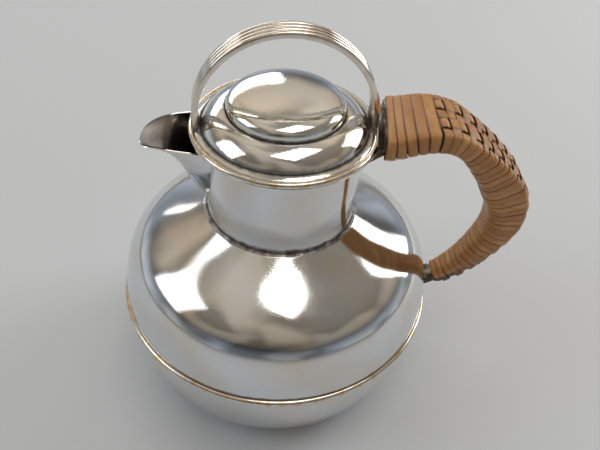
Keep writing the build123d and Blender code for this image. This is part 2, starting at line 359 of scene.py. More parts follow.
class Surface:
    """A material being built, with its tree and its main shader."""

    def __init__(self, name: str) -> None:
        """Start a material with its usual shader."""
        self.material = bpy.data.materials.new(name)
        self.material.use_nodes = True
        self.tree = self.material.node_tree
        self.shader = next(node for node in self.tree.nodes if node.type == "BSDF_PRINCIPLED")

    def node(
        self, kind: str, settings: dict | None = None, inputs: dict | None = None, output: Any = 0
    ) -> Value:
        """Add a node.

        Args:
            kind: The node's type.
            settings: Values set on the node, or a ramp's stops.
            inputs: Values or links of its sockets, by name or number.
            output: The output that is wanted.

        Returns:
            The output as a value.
        """
        made = self.tree.nodes.new(kind)
        for key, value in (settings or {}).items():
            setattr(made, key, value)
        for key, value in (inputs or {}).items():
            self.feed(made.inputs[key], value)
        return Value(self, made.outputs[output])

    def feed(self, socket: Any, value: Any) -> None:
        """Link a value to a socket, or set a plain number or colour on it."""
        if isinstance(value, Value):
            self.tree.links.new(value.socket, socket)
        elif isinstance(value, tuple) and len(value) == 3 and len(socket.default_value) == 4:
            socket.default_value = (*value, 1.0)
        else:
            socket.default_value = value

    def set(self, **inputs: Any) -> None:
        """Set the main shader's sockets, named with underscores."""
        for name, value in inputs.items():
            self.feed(self.shader.inputs[name.replace("_", " ")], value)

    def place(self) -> Value:
        """Return the Object coordinates."""
        return self.node("ShaderNodeTexCoord", output="Object")

    def axes(self) -> tuple[Value, Value, Value]:
        """Return the Object coordinates one by one."""
        split = self.node("ShaderNodeSeparateXYZ", None, {0: self.place()})
        outputs = split.socket.node.outputs
        return tuple(Value(self, outputs[number]) for number in range(3))

    def mark(self, name: str) -> Value:
        """Return a value kept on the mesh's points."""
        return self.node("ShaderNodeAttribute", {"attribute_name": name}, output="Fac")

    def noise(self, scale: float, detail: float = 3.0, at: Value | None = None, rough: float = 0.5) -> Value:
        """Return soft noise with so many features to the metre."""
        inputs = {"Vector": at or self.place(), "Scale": scale, "Detail": detail, "Roughness": rough}
        return self.node("ShaderNodeTexNoise", None, inputs)

    def joined(self, x: Any, y: Any, z: Any) -> Value:
        """Return a vector of three values."""
        return self.node("ShaderNodeCombineXYZ", None, {0: x, 1: y, 2: z})

    def mix(self, share: Any, first: Any, second: Any) -> Value:
        """Mix two colours."""
        settings = {"data_type": "RGBA"}
        return self.node("ShaderNodeMix", settings, {0: share, 6: first, 7: second}, 2)

    def bump(self, height: Value, depth: float, strength: float = 1.0, under: Value | None = None) -> Value:
        """Return a bumped normal from a height and its depth in metres."""
        inputs = {"Height": height, "Distance": depth, "Strength": strength}
        if under:
            inputs["Normal"] = under
        return self.node("ShaderNodeBump", None, inputs)


# ---------------------------------------------------------------- finishes


@dataclass(frozen=True)
class Ring:
    """A groove or seam round the pot's axis where tarnish gathers."""

    radius: float
    height: float
    reach: float
    strength: float = 1.0


@dataclass(frozen=True)
class Spot:
    """A place where solder or dirt has darkened the metal."""

    at: tuple[float, float, float]
    reach: float
    strength: float = 1.0


@dataclass(frozen=True)
class SilverFinish:
    """Polished silver plate with haze, pits, and tarnish in its seams."""

    name: str
    rings: tuple[Ring, ...] = ()
    spots: tuple[Spot, ...] = ()
    silver: tuple = (0.74, 0.765, 0.79)
    warm: tuple = (0.74, 0.70, 0.635)
    tarnish: tuple = (0.055, 0.034, 0.02)
    roughness: float = 0.045
    pits: float = 1.0
    wear: float = 0.0
    brass: tuple = (0.66, 0.46, 0.24)

    def material(self) -> bpy.types.Material:
        """Build the material."""
        s = Surface(self.name)
        x, y, z = s.axes()
        radius = (x * x + y * y) ** 0.5
        cloud = s.noise(38.0, 4.0)
        ragged = s.noise(260.0, 5.0, rough=0.62)
        grain = s.noise(1500.0, 3.0)
        dark = s.noise(620.0, 4.0, rough=0.7).fade(0.70, 0.80) * cloud.fade(0.42, 0.62) * (0.8 * self.pits)
        for ring in self.rings:
            across, up = radius - ring.radius, z - ring.height
            gap = (across * across + up * up) ** 0.5 + (ragged - 0.5) * (1.5 * ring.reach)
            dark = dark.either(gap.fade(ring.reach, 0.12 * ring.reach) * ring.strength)
        for spot in self.spots:
            aside, back, up = x - spot.at[0], y - spot.at[1], z - spot.at[2]
            gap = (aside * aside + back * back + up * up) ** 0.5 + (ragged - 0.5) * (1.2 * spot.reach)
            dark = dark.either(gap.fade(spot.reach, 0.3 * spot.reach) * spot.strength)
        bright = s.mix(cloud.fade(0.35, 0.7), self.silver, self.warm)
        if self.wear:
            worn = ragged.fade(0.44, 0.66) * self.wear
            bright = s.mix(worn, bright, self.brass)
        s.set(Base_Color=s.mix(dark, bright, self.tarnish), Metallic=1.0 - dark * 0.55)
        haze = cloud.fade(0.45, 0.75) * 0.05 + grain.fade(0.45, 0.8) * 0.03
        s.set(Roughness=haze + self.roughness + dark * 0.42)
        hand_raised = s.bump(s.noise(46.0, 1.0), 0.00035)
        s.set(Normal=s.bump(grain * 0.3 - dark, 0.00006, under=hand_raised))
        return s.material


@dataclass(frozen=True)
class MountFinish:
    """Dull solder and brown tarnish on the handle's mounts."""

    name: str = "tarnished_mount"
    metal: tuple = (0.46, 0.42, 0.36)
    brown: tuple = (0.10, 0.062, 0.035)
    green: tuple = (0.07, 0.085, 0.06)

    def material(self) -> bpy.types.Material:
        """Build the material."""
        s = Surface(self.name)
        cloud = s.noise(170.0, 4.0, rough=0.6)
        fine = s.noise(1100.0, 4.0)
        brown = cloud.fade(0.36, 0.6)
        coat = s.mix(s.noise(420.0).fade(0.55, 0.7), self.brown, self.green)
        s.set(Base_Color=s.mix(brown, self.metal, coat), Metallic=1.0 - brown * 0.5)
        s.set(Roughness=fine * 0.2 + 0.22 + brown * 0.2, Normal=s.bump(fine, 0.00012))
        return s.material


@dataclass(frozen=True)
class CaneFinish:
    """Split cane: glossy honey skin, brown edges, fine lines along it, and painted shade at the crossings."""

    name: str
    honey: tuple = (0.52, 0.235, 0.068)
    pale: tuple = (0.68, 0.37, 0.13)
    edge: tuple = (0.19, 0.06, 0.015)
    grime: tuple = (0.10, 0.040, 0.014)
    # Near-black colour of the painted shade, laid where wraps and stakes cross.
    painted_shade_colour: tuple = (0.035, 0.016, 0.008)

    def material(self) -> bpy.types.Material:
        """Build the material."""
        s = Surface(self.name)
        across, along, tone = s.mark("across"), s.mark("along"), s.mark("tone")
        lines = s.noise(1.0, 4.0, s.joined(across * 26.0, along * 5.0, tone * 91.0), 0.65)
        patch = s.noise(1.0, 2.0, s.joined(across * 1.2, along * 7.0, tone * 37.0))
        skin = s.mix(patch.fade(0.35, 0.7) * (tone * 0.7 + 0.3), self.honey, self.pale)
        # The skin darkens towards each strip's two edges, where it meets the next wrap.
        side = (across - 0.5).size()
        edge_darkening = (side + (lines - 0.5) * 0.2).fade(0.32, 0.52)
        skin = s.mix(edge_darkening * 0.85, skin, self.edge)
        skin = s.mix(lines.fade(0.56, 0.74) * 0.36, skin, self.edge)
        dirt = s.noise(95.0, 5.0, rough=0.65).fade(0.52, 0.72) * 0.55
        skin = s.mix(dirt * (0.4 + edge_darkening * 0.6), skin, self.grime)
        skin = s.mix((1.0 - tone) * 0.26, skin, self.edge)
        # Painted shade: near-black where wraps and stakes dip under each other and beside the crossings.
        s.set(Base_Color=s.mix(s.mark("shade") * 0.8, skin, self.painted_shade_colour))
        s.set(Roughness=lines * 0.22 + 0.26 + dirt * 0.2, Coat_Weight=0.12, Coat_Roughness=0.3)
        s.set(Normal=s.bump(lines, 0.00016))
        return s.material


# ---------------------------------------------------------------- the frame's sizes


@dataclass(frozen=True)
class PotSizes:
    """Sizes that several sub-assemblies share, read from the frame."""

    body_radius: float
    girdle_height: float
    joint_height: float
    neck_radius: float
    mouth_height: float

    @classmethod
    def from_frame(cls) -> "PotSizes":
        """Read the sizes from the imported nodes' boxes."""
        bowl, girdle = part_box("lower_bowl"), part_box("girdle_wire")
        neck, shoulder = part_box("neck"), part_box("shoulder")
        return cls(bowl[1].x, (girdle[0].z + girdle[1].z) / 2, shoulder[1].z, neck[1].x, neck[1].z)


@dataclass
class PotBody:
    """The bowl, shoulder, neck and their wires."""

    sizes: PotSizes
    base_radius: float = 48.0 * MM
    wall: float = 1.2 * MM
    bowl_side_rise: float = 17.0 * MM
    bowl_foot_run: float = 17.4 * MM
    shoulder_side_rise: float = 37.3 * MM
    shoulder_top_run: float = 29.7 * MM
    shoulder_top_slope: float = 33.4
    plate_radius: float = 43.0 * MM
    plate_rise: float = 1.0 * MM
    foot_insets: tuple[float, float] = (2.4 * MM, 1.0 * MM)
    foot_rises: tuple[float, float] = (0.55 * MM, 0.1 * MM)
    base_ring_share: float = 0.6
    base_ring_edge: float = 0.62
    base_ring_radius: float = 0.6 * MM
    joint_fillet: float = 1.3 * MM
    fillet_lift: float = 0.55
    first_row: float = 2.0 * MM
    neck_rows: int = 36
    window_half_width: float = 10.0 * MM
    window_drop: tuple[float, float] = (30.0 * MM, 9.0 * MM)

    def bowl(self) -> bpy.types.Object:
        """Model the lower bowl, open at the girdle and round its base plate."""
        side = (self.sizes.body_radius, self.sizes.girdle_height)
        outline = bezier(
            (self.base_radius, 0.0),
            (self.base_radius + self.bowl_foot_run, 0.0),
            (side[0], side[1] - self.bowl_side_rise),
            side,
            44,
        )
        foot = [(self.plate_radius, self.plate_rise)]
        foot += [(self.base_radius - inset, rise) for inset, rise in zip(self.foot_insets, self.foot_rises)]
        return turned("bowl_shell", foot + outline)

    def shoulder(self) -> bpy.types.Object:
        """Model the shoulder, from the girdle to its seam with the neck."""
        slope = math.radians(self.shoulder_top_slope)
        side, top = self.sizes.girdle_height, self.sizes.joint_height
        outline = bezier(
            (self.sizes.body_radius, side),
            (self.sizes.body_radius, side + self.shoulder_side_rise),
            (
                self.sizes.neck_radius + self.shoulder_top_run * math.cos(slope),
                top - self.shoulder_top_run * math.sin(slope),
            ),
            (self.sizes.neck_radius, top),
            56,
        )
        return turned("shoulder_shell", outline, 224)

    def neck(self) -> bpy.types.Object:
        """Model the neck with a small fillet at its foot and a window behind the spout."""
        radius, foot = self.sizes.neck_radius, self.sizes.joint_height
        flare = self.joint_fillet
        outline = arc((radius + flare, foot + flare * self.fillet_lift), flare, 270, 180, 6)
        outline += [(radius, foot + self.first_row + row * MM) for row in range(self.neck_rows)]
        outline += [(radius, self.sizes.mouth_height)]
        piece = turned("neck_shell", outline, 224)
        lip = self.sizes.mouth_height
        activate(piece)
        bpy.ops.object.mode_set(mode="EDIT")
        bpy.ops.mesh.select_all(action="DESELECT")
        bpy.ops.object.mode_set(mode="OBJECT")
        for face in piece.data.polygons:
            level = lip - self.window_drop[0] < face.center.z < lip - self.window_drop[1]
            face.select = level and face.center.x < 0 and abs(face.center.y) < self.window_half_width
        bpy.ops.object.mode_set(mode="EDIT")
        bpy.ops.mesh.select_mode(type="FACE")
        bpy.ops.mesh.delete(type="FACE")
        bpy.ops.mesh.select_mode(type="VERT")
        bpy.ops.object.mode_set(mode="OBJECT")
        return piece

    def base(self) -> bpy.types.Object:
        """Model the base plate: a flat disc with a spun ring in it."""
        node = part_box("base_plate")
        floor, top = node[0].z, node[1].z
        radius = node[1].x
        ring = (radius * self.base_ring_share, floor)
        outline = [(0.0, top), (radius, top), (radius, floor), (radius * self.base_ring_edge, floor)]
        outline += arc(ring, self.base_ring_radius, 0, 180, 6) + [(0.0, floor)]
        return turned("base_disc", outline, 128)

    def wire(self, name: str, node: str) -> bpy.types.Object:
        """Model a wire in the place of a node: a round section."""
        low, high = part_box(node)
        half = (high.z - low.z) / 2
        centre = (high.x - half, (low.z + high.z) / 2)
        return turned(name, arc(centre, half, -180, 180, 20), 256)

    def build(self, plate: bpy.types.Material, lining: bpy.types.Material, worn: bpy.types.Material) -> None:
        """Build and seat the body's pieces."""
        shells = (
            (self.bowl(), "lower_bowl"),
            (self.shoulder(), "shoulder"),
            (self.neck(), "neck"),
        )
        for piece, node in shells:
            piece.data.materials.append(plate)
            piece.data.materials.append(lining)
            thicken(piece, self.wall)
            smooth(piece)
            seat(piece, Body.POT, Slot.SILVER, (), node)
        base = self.base()
        smooth(base)
        seat(base, Body.POT, Slot.SILVER, (plate,), "base_plate")
        for name, node in (("girdle_bead", "girdle_wire"), ("mouth_bead", "mouth_wire")):
            bead = self.wire(name, node)
            smooth(bead, 80)
            seat(bead, Body.POT, Slot.WIRE, (worn,), node)


@dataclass
class Spout:
    """The open spout: a steep throat on the neck that ends in a thin flat tongue."""

    sizes: PotSizes
    half_width: float = 15.2 * MM
    throat: float = 28.0 * MM
    tongue: float = 1.6 * MM
    throat_share: float = 0.66
    nose_drop: float = 3.9 * MM
    wall: float = 1.0 * MM
    section_power: float = 2 / 2.3
    width_power: float = 0.8
    steps: int = 56

    def __post_init__(self) -> None:
        """Read the spout's box."""
        self.low, self.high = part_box("spout")

    def place(self, along: int, across: int) -> tuple[float, float, float]:
        """Return the place of a point of the outer face."""
        low, high = self.low, self.high
        turn = math.pi / 2 * along / self.steps
        reach = math.sin(turn)
        open_share = max(math.cos(turn), 0.0)
        width = self.half_width * open_share**self.width_power + 0.3 * MM
        fall = min(reach / self.throat_share, 1.0)
        fall = fall * fall * (3 - 2 * fall)
        depth = self.throat * (1 - fall) + self.tongue * open_share**self.width_power
        angle = math.pi * across / self.steps
        swing = math.cos(angle)
        side = math.copysign(abs(swing) ** self.section_power, swing) * width
        down = max(math.sin(angle), 0.0) ** self.section_power * depth
        root = math.sqrt((self.sizes.neck_radius - 0.5 * MM) ** 2 - side**2)
        x = root + (-low.x - root) * reach
        lip = high.z - self.nose_drop * reach**5
        return (-x, side, lip - down)

    def build(self, plate: bpy.types.Material, black: bpy.types.Material) -> None:
        """Build and seat the spout."""
        above = Vector((-self.sizes.neck_radius - 8 * MM, 0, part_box("spout")[1].z + 1 * MM))
        piece = shaped_grid("spout_shell", self.steps, self.steps, self.place, above, close_ends=False)
        piece.data.materials.append(plate)
        piece.data.materials.append(black)
        thicken(piece, self.wall)
        apply_modifier(piece, "BEVEL", width=0.3 * MM, segments=2, limit_method="ANGLE", angle_limit=1.0)
        smooth(piece, 60)
        seat(piece, Body.POT, Slot.SILVER, (), "spout")


@dataclass
class Lid:
    """The lift-off lid: cover, edge wire, bezel and reeded loop."""

    sizes: PotSizes
    wall: float = 1.1 * MM
    tier_radius: float = 34.0 * MM
    dome_radius: float = 24.1 * MM
    dome_height: float = 7.6 * MM
    tier_height: float = 6.9 * MM
    tier_bulge: float = 1.5 * MM
    dome_power: float = 0.56
    groove: float = 0.35 * MM
    loop_width: float = 9.9 * MM
    strap: float = 1.5 * MM
    reeds: int = 4
    turn: float = 4.5
    bezel_wall: float = 1.0 * MM
    bezel_chamfer: tuple[float, float] = (0.35 * MM, 0.3 * MM)
    loop_edge: tuple[float, float] = (0.5 * MM, 0.3 * MM)

    def cover(self) -> bpy.types.Object:
        """Model the cover: a flange, a bulging tier and a dome, with a groove between each."""
        low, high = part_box("lid_cover")
        dome_base = high.z - self.dome_height
        tier_base = dome_base - self.tier_height
        edge = high.x
        outline = [(edge, tier_base - 1.3 * MM)]
        outline += bezier(
            (edge, tier_base - 1.3 * MM),
            (edge - 1.4 * MM, tier_base - 0.7 * MM),
            (self.tier_radius + 1.2 * MM, tier_base - 0.1 * MM),
            (self.tier_radius + 0.5 * MM, tier_base),
            8,
        )[1:]
        outline += [(self.tier_radius + 0.15 * MM, tier_base - self.groove)]
        run, rise = self.dome_radius - self.tier_radius, self.tier_height
        length = math.hypot(run, rise)
        for step in range(1, 24):
            share = step / 24
            bulge = self.tier_bulge * math.sin(math.pi * share) ** 0.8
            outline.append(
                (
                    self.tier_radius + run * share + bulge * rise / length,
                    tier_base + rise * share - bulge * run / length,
                )
            )
        outline += [(self.dome_radius + 0.25 * MM, dome_base - 0.1 * MM)]
        outline += [(self.dome_radius - 0.05 * MM, dome_base - self.groove)]
        for step in range(1, 41):
            angle = math.pi / 2 * (1 - step / 40)
            height = self.dome_height * math.cos(angle) ** self.dome_power
            outline.append((self.dome_radius * math.sin(angle), dome_base + height))
        return turned("lid_shell", outline, 224)

    def bezel(self) -> bpy.types.Object:
        """Model the bezel that drops into the neck."""
        low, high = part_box("lid_bezel")
        radius, wall = high.x, self.bezel_wall
        inset, rise = self.bezel_chamfer
        outline = [(radius - wall, high.z), (radius, high.z), (radius, low.z + rise)]
        outline += [(radius - inset, low.z), (radius - wall, low.z), (radius - wall, high.z)]
        return turned("bezel_ring", outline, 192)

    def edge(self) -> bpy.types.Object:
        """Model the wire round the lid's edge."""
        low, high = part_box("lid_edge_wire")
        half = (high.z - low.z) / 2
        return turned("lid_edge_bead", arc((high.x - half, low.z + half), half, -180, 180, 20), 256)

    def loop_section(self) -> Outline:
        """Return the loop's closed section: reeds outside, flat inside."""
        reed = self.loop_width / (2 * self.reeds)
        points: Outline = []
        for number in range(self.reeds):
            middle = -self.loop_width / 2 + (2 * number + 1) * reed
            points += arc((middle, self.strap), reed, 172, 8, 8)
        inner = self.loop_width / 2
        inset, rise = self.loop_edge
        points += [(inner, rise), (inner - inset, 0.0), (0.0, 0.0), (inset - inner, 0.0)]
        return points + [(-inner, rise)]

    def loop(self) -> bpy.types.Object:
        """Model the arched loop on its two short legs."""
        low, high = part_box("lid_loop")
        turn = math.radians(self.turn)
        outer = high.x / math.cos(turn) - self.loop_width / 2 * math.tan(turn)
        thick = self.strap + self.loop_width / (2 * self.reeds)
        inner = outer - thick
        centre = high.z - outer
        section = self.loop_section()
        legs, arch = 3, 120
        steps = arch + 2 * legs

        def place(along: int, across: int) -> tuple[float, float, float]:
            """Return a point of the loop."""
            side, out = section[across % len(section)]
            angle = math.pi * min(max(along - legs, 0), arch) / arch
            short = max(legs - along, 0) + max(along - legs - arch, 0)
            x = math.cos(angle) * (inner + out)
            z = centre + math.sin(angle) * (inner + out) - short * (centre - low.z) / legs
            return (x * math.cos(turn) - side * math.sin(turn), x * math.sin(turn) + side * math.cos(turn), z)

        middle = Vector((0, 0, centre))
        piece = shaped_grid("reeded_loop", steps, len(section), place, middle)
        return piece

    def build(
        self, plate: bpy.types.Material, lining: bpy.types.Material, worn: bpy.types.Material,
        reeded: bpy.types.Material,
    ) -> None:
        """Build and seat the lid's pieces."""
        cover = self.cover()
        cover.data.materials.append(plate)
        cover.data.materials.append(lining)
        thicken(cover, self.wall)
        smooth(cover)
        seat(cover, Body.LID, Slot.SILVER, (), "lid_cover")
        bezel = self.bezel()
        smooth(bezel)
        seat(bezel, Body.LID, Slot.SILVER, (lining,), "lid_bezel")
        edge = self.edge()
        smooth(edge, 80)
        seat(edge, Body.LID, Slot.WIRE, (worn,), "lid_edge_wire")
        loop = self.loop()
        smooth(loop, 50)
        seat(loop, Body.LID, Slot.WIRE, (reeded,), "lid_loop")


# ---------------------------------------------------------------- the handle


@dataclass
class Handle:
    """The cane-wrapped handle: separate wraps round a tube and two stakes woven through them."""

    top: tuple[float, float] = (41.5 * MM, 144.8 * MM)
    foot: tuple[float, float] = (78.1 * MM, 57.4 * MM)
    bulge: float = 44.0 * MM
    shape: tuple = ((1.03, 0.31), (1.02, 0.64), (0.915, 0.835), (0.725, 1.0), (0.525, 1.0), (0.27, 0.67))
    widths: tuple = (35.0, 29.4, 23.0, 16.4, 11.2)
    depths: tuple = (11.5, 10.0, 19.0, 12.8, 7.8)
    outer_round: float = 2.6 * MM
    inner_round: float = 0.42
    plain_pitch: float = 4.0 * MM
    woven_pitch: float = 3.35 * MM
    plain_length: float = 19.0 * MM
    woven_end: float = 158.0 * MM
    cane: float = 1.0 * MM
    crown: float = 0.22 * MM
    weave: float = 0.75 * MM
    bend: float = 1.7 * MM
    half_shares: tuple[float, float] = (0.492, 0.512)
    most_tilt: float = 0.18 * MM
    proud: tuple[float, float] = (-0.12 * MM, 0.1 * MM)
    neck_slant: float = 1.8 * MM
    stake_places: tuple = (0.44, -0.40)
    stake_width: float = 5.6 * MM
    seed: int = 11
    samples: int = 400
    spacing: float = 0.25 * MM
    line: dict = field(default_factory=dict)

    def __post_init__(self) -> None:
        """Lay the middle line as a smooth curve through its points and measure it."""
        points = [self.top]
        for share, bulge in self.shape:
            x = self.foot[0] + share * (self.top[0] - self.foot[0]) + bulge * self.bulge
            points.append((x, self.foot[1] + share * (self.top[1] - self.foot[1])))
        points.append(self.foot)
        route = np.array(points)
        knots = np.concatenate([[0], np.cumsum(np.linalg.norm(np.diff(route, axis=0), axis=1))])
        slopes = self.slopes(knots, route, np.array([1.0, 0.0]), np.array([-0.8645, -0.5026]))
        fine = np.linspace(0, knots[-1], self.samples)
        span = np.clip(np.searchsorted(knots, fine) - 1, 0, len(knots) - 2)
        size = (knots[span + 1] - knots[span])[:, None]
        t = ((fine - knots[span])[:, None]) / size
        at = (1 + 2 * t) * (1 - t) ** 2 * route[span] + t * (1 - t) ** 2 * size * slopes[span]
        at += t * t * (3 - 2 * t) * route[span + 1] + t * t * (t - 1) * size * slopes[span + 1]
        run = np.concatenate([[0], np.cumsum(np.linalg.norm(np.diff(at, axis=0), axis=1))])
        even = np.arange(0.0, float(run[-1]), self.spacing)
        track = np.stack([np.interp(even, run, at[:, axis]) for axis in (0, 1)], axis=1)
        ways = np.gradient(track, axis=0)
        ways /= np.linalg.norm(ways, axis=1)[:, None]
        self.line = {"at": track.tolist(), "way": ways.tolist(), "length": float(run[-1])}

    @staticmethod
    def slopes(knots: np.ndarray, route: np.ndarray, first: np.ndarray, last: np.ndarray) -> np.ndarray:
        """Return the slopes at the knots of a smooth curve with its end directions given."""
        count = len(knots)
        matrix, right = np.eye(count), np.zeros((count, 2))
        right[0], right[-1] = first, last
        gaps = np.diff(knots)
        for row in range(1, count - 1):
            before, after = gaps[row - 1], gaps[row]
            matrix[row, row - 1 : row + 2] = (after, 2 * (before + after), before)
            rise = after * (route[row] - route[row - 1]) / before
            rise += before * (route[row + 1] - route[row]) / after
            right[row] = 3 * rise
        return np.linalg.solve(matrix, right)

    def station(self, run: float) -> tuple[tuple[float, float], tuple[float, float]]:
        """Return the middle line's point and its direction at a distance along it."""
        at, ways = self.line["at"], self.line["way"]
        number = min(max(int(run / self.spacing), 0), len(at) - 1)
        way = ways[number]
        rest = run - number * self.spacing
        return (at[number][0] + way[0] * rest, at[number][1] + way[1] * rest), (way[0], way[1])

    def section(self, run: float, count: int) -> tuple[np.ndarray, np.ndarray]:
        """Return points round the handle's section and their outward directions.

        Args:
            run: Distance along the middle line.
            count: Number of points, evenly spaced from the middle of the inner face.

        Returns:
            Points and directions, each across the handle and outward from its line.
        """
        share = min(max(run / self.line["length"], 0.0), 1.0)
        marks = np.linspace(0, 1, len(self.widths))
        half_width = float(np.interp(share, marks, self.widths)) * MM / 2
        half_depth = float(np.interp(share, marks, self.depths)) * MM / 2
        inner = half_depth * 2 * self.inner_round
        outer = self.outer_round
        corners = (
            (half_width - inner, inner - half_depth, inner, -90, 0),
            (half_width - outer, half_depth - outer, outer, 0, 90),
            (outer - half_width, half_depth - outer, outer, 90, 180),
            (inner - half_width, inner - half_depth, inner, 180, 270),
        )
        ring: list = [((0.0, -half_depth), -90.0)]
        for across, out, radius, first, last in corners:
            angles = [first + (last - first) * step / 8 for step in range(9)]
            ring += list(zip(arc((across, out), radius, first, last, 8), angles))
        ring.append(((0.0, -half_depth), 270.0))
        points = np.array([point for point, _ in ring])
        angles = np.radians([angle for _, angle in ring])
        run_round = np.concatenate([[0], np.cumsum(np.linalg.norm(np.diff(points, axis=0), axis=1))])
        at = np.linspace(0, run_round[-1], count, endpoint=False)
        where = np.stack([np.interp(at, run_round, points[:, axis]) for axis in (0, 1)], axis=1)
        turns = np.interp(at, run_round, angles)
        return where, np.stack([np.cos(turns), np.sin(turns)], axis=1)

    def to_frame(self, run: float, across: float, out: float) -> tuple[float, float, float]:
        """Return a place from a distance along the handle, across it and out from its line."""
        at, way = self.station(run)
        return (float(at[0] - way[1] * out), across, float(at[1] + way[0] * out))

    def wrap_runs(self) -> list[tuple[float, float, bool]]:
        """Return each wrap's distance along the handle, its pitch, and whether it is woven."""
        wraps, run = [], 1.6 * MM
        end = self.line["length"] - 1.2 * MM
        while run < end:
            woven = self.plain_length < run < self.woven_end
            pitch = self.woven_pitch if woven else self.plain_pitch
            wraps.append((run, pitch, woven))
            run += pitch
        return wraps

    def half_width(self, run: float) -> float:
        """Return half the handle's width at a distance along it."""
        share = min(max(run / self.line["length"], 0.0), 1.0)
        return float(np.interp(share, np.linspace(0, 1, len(self.widths)), self.widths)) * MM / 2

    def lift(self, run: float, across: float, out: float, over: bool, woven: bool) -> float:
        """Return how far a wrap stands out where it passes over or under the stakes."""
        share = self.crossing(run, across, out, woven)
        return share * (self.weave if over else -self.weave)

    def crossing(self, run: float, across: float, out: float, woven: bool) -> float:
        """Return 1 where a wrap crosses a stake, 0 where it lies flat, and between them beside one."""
        if not woven or out < 0:
            return 0.0
        half = self.half_width(run)
        near = min(abs(across - place * half) for place in self.stake_places) - self.stake_width / 2
        share = 1.0 - min(max(near / self.bend, 0.0), 1.0)
        return share * share * (3 - 2 * share)

    def wrap(
        self, number: int, run: float, pitch: float, woven: bool, chance: random.Random
    ) -> bpy.types.Object:
        """Model one wrap of cane round the handle."""
        round_steps = 56
        half = pitch * chance.uniform(*self.half_shares)
        drop = self.cane
        profile = [(-half, -0.3 * drop), (-half * 0.9, -self.crown * 0.6), (-half * 0.55, -self.crown * 0.12)]
        profile += [(0.0, 0.0), (half * 0.55, -self.crown * 0.12), (half * 0.9, -self.crown * 0.6)]
        profile += [(half, -0.3 * drop), (half * 0.6, -drop), (-half * 0.6, -drop)]
        tilt = chance.uniform(-self.most_tilt, self.most_tilt)
        slant = self.neck_slant * max(0.0, 1 - run / self.plain_length)
        proud = chance.uniform(*self.proud)
        tone = chance.random()
        places, ways = self.section(run, round_steps)
        widest = float(np.abs(places[:, 0]).max())

        def place(along: int, across: int) -> tuple[float, float, float]:
            """Return a point of the wrap."""
            (side, out), way = places[along % round_steps], ways[along % round_steps]
            shift, depth = profile[across % len(profile)]
            depth += proud + self.lift(run, side, out, number % 2 == 0, woven)
            moved = run + shift + (tilt + slant) * side / widest
            return self.to_frame(moved, side + way[0] * depth, out + way[1] * depth)

        def shaded(along: int) -> float:
            """Return how much painted shade a wrap gets beside a stake, where it dips under or rises over."""
            side, out = places[along % round_steps]
            share = self.crossing(run, side, out, woven)
            beside = 4 * share * (1 - share)
            return beside if number % 2 == 0 else max(beside, share)

        marks = {
            "across": lambda along, across: (profile[across % len(profile)][0] / half + 1) / 2,
            "along": lambda along, across: float(along) / round_steps,
            "tone": lambda along, across: tone,
            "shade": lambda along, across: shaded(along),
        }
        at, _ = self.station(run)
        centre = Vector((float(at[0]), 0, float(at[1])))
        return shaped_grid(f"wrap_{number}", round_steps, len(profile), place, centre, marks, False)

    def stake(self, name: str, share: float, wraps: list, chance: random.Random) -> bpy.types.Object:
        """Model one stake, woven under the even wraps and over the odd ones."""
        first = next(run for run, _, woven in wraps if woven) - 3 * MM
        last = max(run for run, _, woven in wraps if woven) + 3 * MM
        runs = [run for run, _, _ in wraps]
        steps = 300
        tone = chance.uniform(0.6, 0.95)
        thin = 0.9 * MM

        def place(along: int, across: int) -> tuple[float, float, float]:
            """Return a point of the stake."""
            run = first + (last - first) * along / steps
            nearest = min(range(len(runs)), key=lambda number: abs(runs[number] - run))
            local = (run - runs[nearest]) / self.woven_pitch
            wave = math.cos(math.pi * local) * (-1.0 if nearest % 2 == 0 else 1.0)
            shape = share * self.half_width(run)
            taper = self.half_width(run) / (self.widths[1] * MM / 2)
            half = self.stake_width / 2 * (0.55 + 0.45 * taper) * (1.0 if wave > 0 else 0.96)
            ring = [(-1, -0.5), (-0.82, -0.08), (-0.4, 0.06), (0.4, 0.06), (0.82, -0.08), (1, -0.5)]
            ring += [(0.7, -1.0), (-0.7, -1.0)]
            side, level = ring[across % len(ring)]
            places = float(np.interp(run / self.line["length"], np.linspace(0, 1, 5), self.depths)) * MM / 2
            top = places + wave * self.weave * 0.95 - 0.25 * MM
            return self.to_frame(run, shape + side * half, top + level * thin)

        def shaded(along: int) -> float:
            """Return how much painted shade the stake gets where it goes under a wrap."""
            run = first + (last - first) * along / steps
            nearest = min(range(len(runs)), key=lambda number: abs(runs[number] - run))
            local = abs(run - runs[nearest]) / self.woven_pitch
            return 1.0 if nearest % 2 == 0 else min(max((local - 0.3) / 0.2, 0.0), 1.0)

        marks = {
            "shade": lambda along, across: shaded(along),
            "across": lambda along, across: (0.0, 0.12, 0.32, 0.68, 0.88, 1.0, 0.8, 0.2)[across % 8],
            "along": lambda along, across: along / 40.0,
            "tone": lambda along, across: tone,
        }
        at, _ = self.station((first + last) / 2)
        return shaped_grid(name, steps, 8, place, Vector((0.06, 0, float(at[1]))), marks)

    def build(self, cane: bpy.types.Material, stake: bpy.types.Material) -> None:
        """Build and seat the wraps and the stakes."""
        chance = random.Random(self.seed)
        wraps = self.wrap_runs()
        bands = [self.wrap(number, *values, chance) for number, values in enumerate(wraps)]
        winding = joined("cane_winding", bands)
        smooth(winding, 50)
        seat(winding, Body.POT, Slot.CANE, (cane,), "cane_wrap")
        names = (("far_stake", "back_stake"), ("near_stake", "front_stake"))
        for (name, node), share in zip(names, self.stake_places):
            strip = self.stake(name, share, wraps, chance)
            smooth(strip, 50)
            seat(strip, Body.POT, Slot.STAKE, (stake,), node)


# ---------------------------------------------------------------- studio


